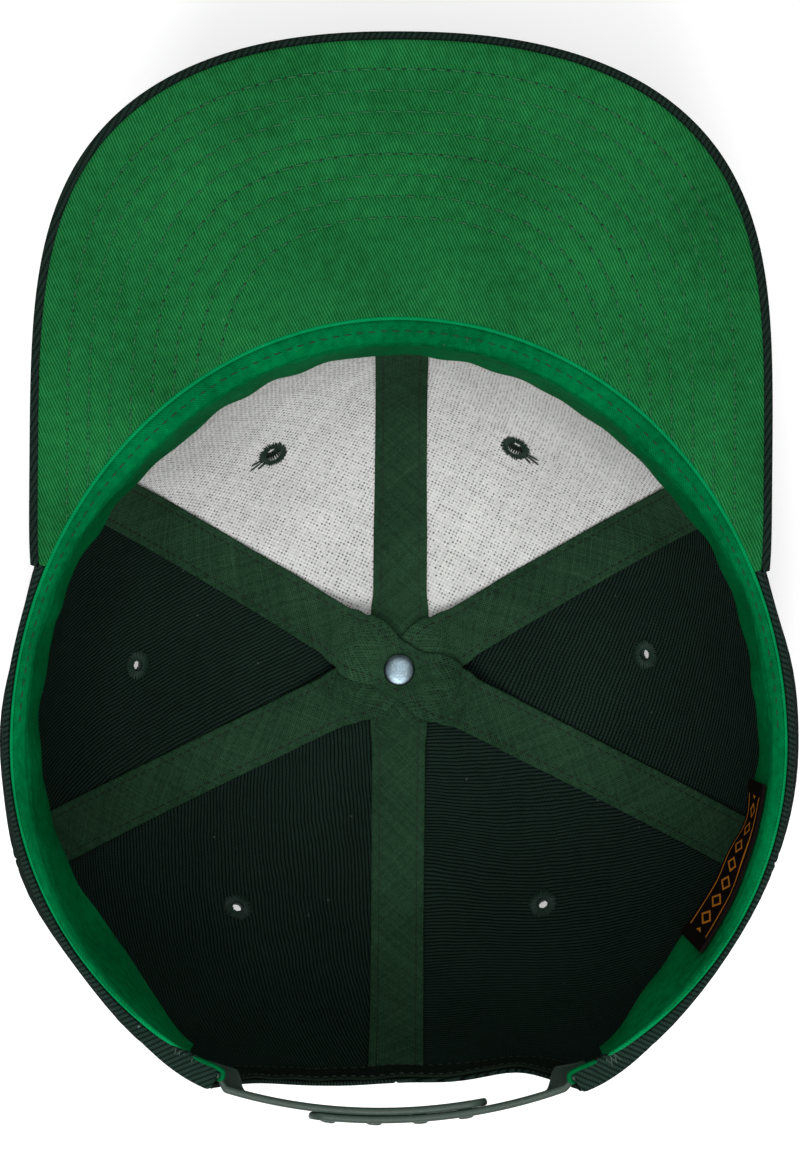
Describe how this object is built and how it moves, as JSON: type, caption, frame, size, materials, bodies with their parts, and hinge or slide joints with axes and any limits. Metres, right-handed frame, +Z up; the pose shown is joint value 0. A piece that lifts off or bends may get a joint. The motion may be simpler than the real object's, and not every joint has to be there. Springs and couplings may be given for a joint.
{
  "type": "snapback cap",
  "caption": "Snapback cap lying on its crown with its opening up: dark twill panels, green peak lining and sweatband, taped seams and a closed plastic strap.",
  "frame": {"origin": "centre of the top button's flat face, on the surface that the cap lies on", "axes": "+Z up out of the crown's opening, +Y towards the peak's tip, +X towards the wearer's left"},
  "size_m": [0.2042, 0.2749, 0.1113],
  "materials": {
    "dark_twill": "very dark green wool twill",
    "buckram": "white open-weave stiffener",
    "tape": "dark green seam tape",
    "green_twill": "green cotton twill",
    "sweatband": "green satin twill",
    "thread": "dark green thread",
    "label": "black woven label with a plain gold pattern",
    "strap": "soft grey-green plastic",
    "rivet": "smooth bright metal"
  },
  "bodies": {
    "root": {"panel_front_left": "dark_twill", "panel_front_right": "dark_twill", "panel_side_left": "dark_twill", "panel_side_right": "dark_twill", "panel_back_left": "dark_twill", "panel_back_right": "dark_twill", "stiffener_left": "buckram", "stiffener_right": "buckram", "tape_front_back": "tape", "tape_left_front": "tape", "tape_right_front": "tape", "arch_tape": "tape", "sweatband": "sweatband", "label": "label", "peak_shell": "dark_twill", "peak_lining": "green_twill", "eyelet_front_left": "thread", "eyelet_front_right": "thread", "eyelet_side_left": "thread", "eyelet_side_right": "thread", "eyelet_back_left": "thread", "eyelet_back_right": "thread", "top_button": "dark_twill", "button_rivet": "rivet", "strap_with_pegs": "strap", "strap_with_holes": "strap"}
  },
  "joints": []
}
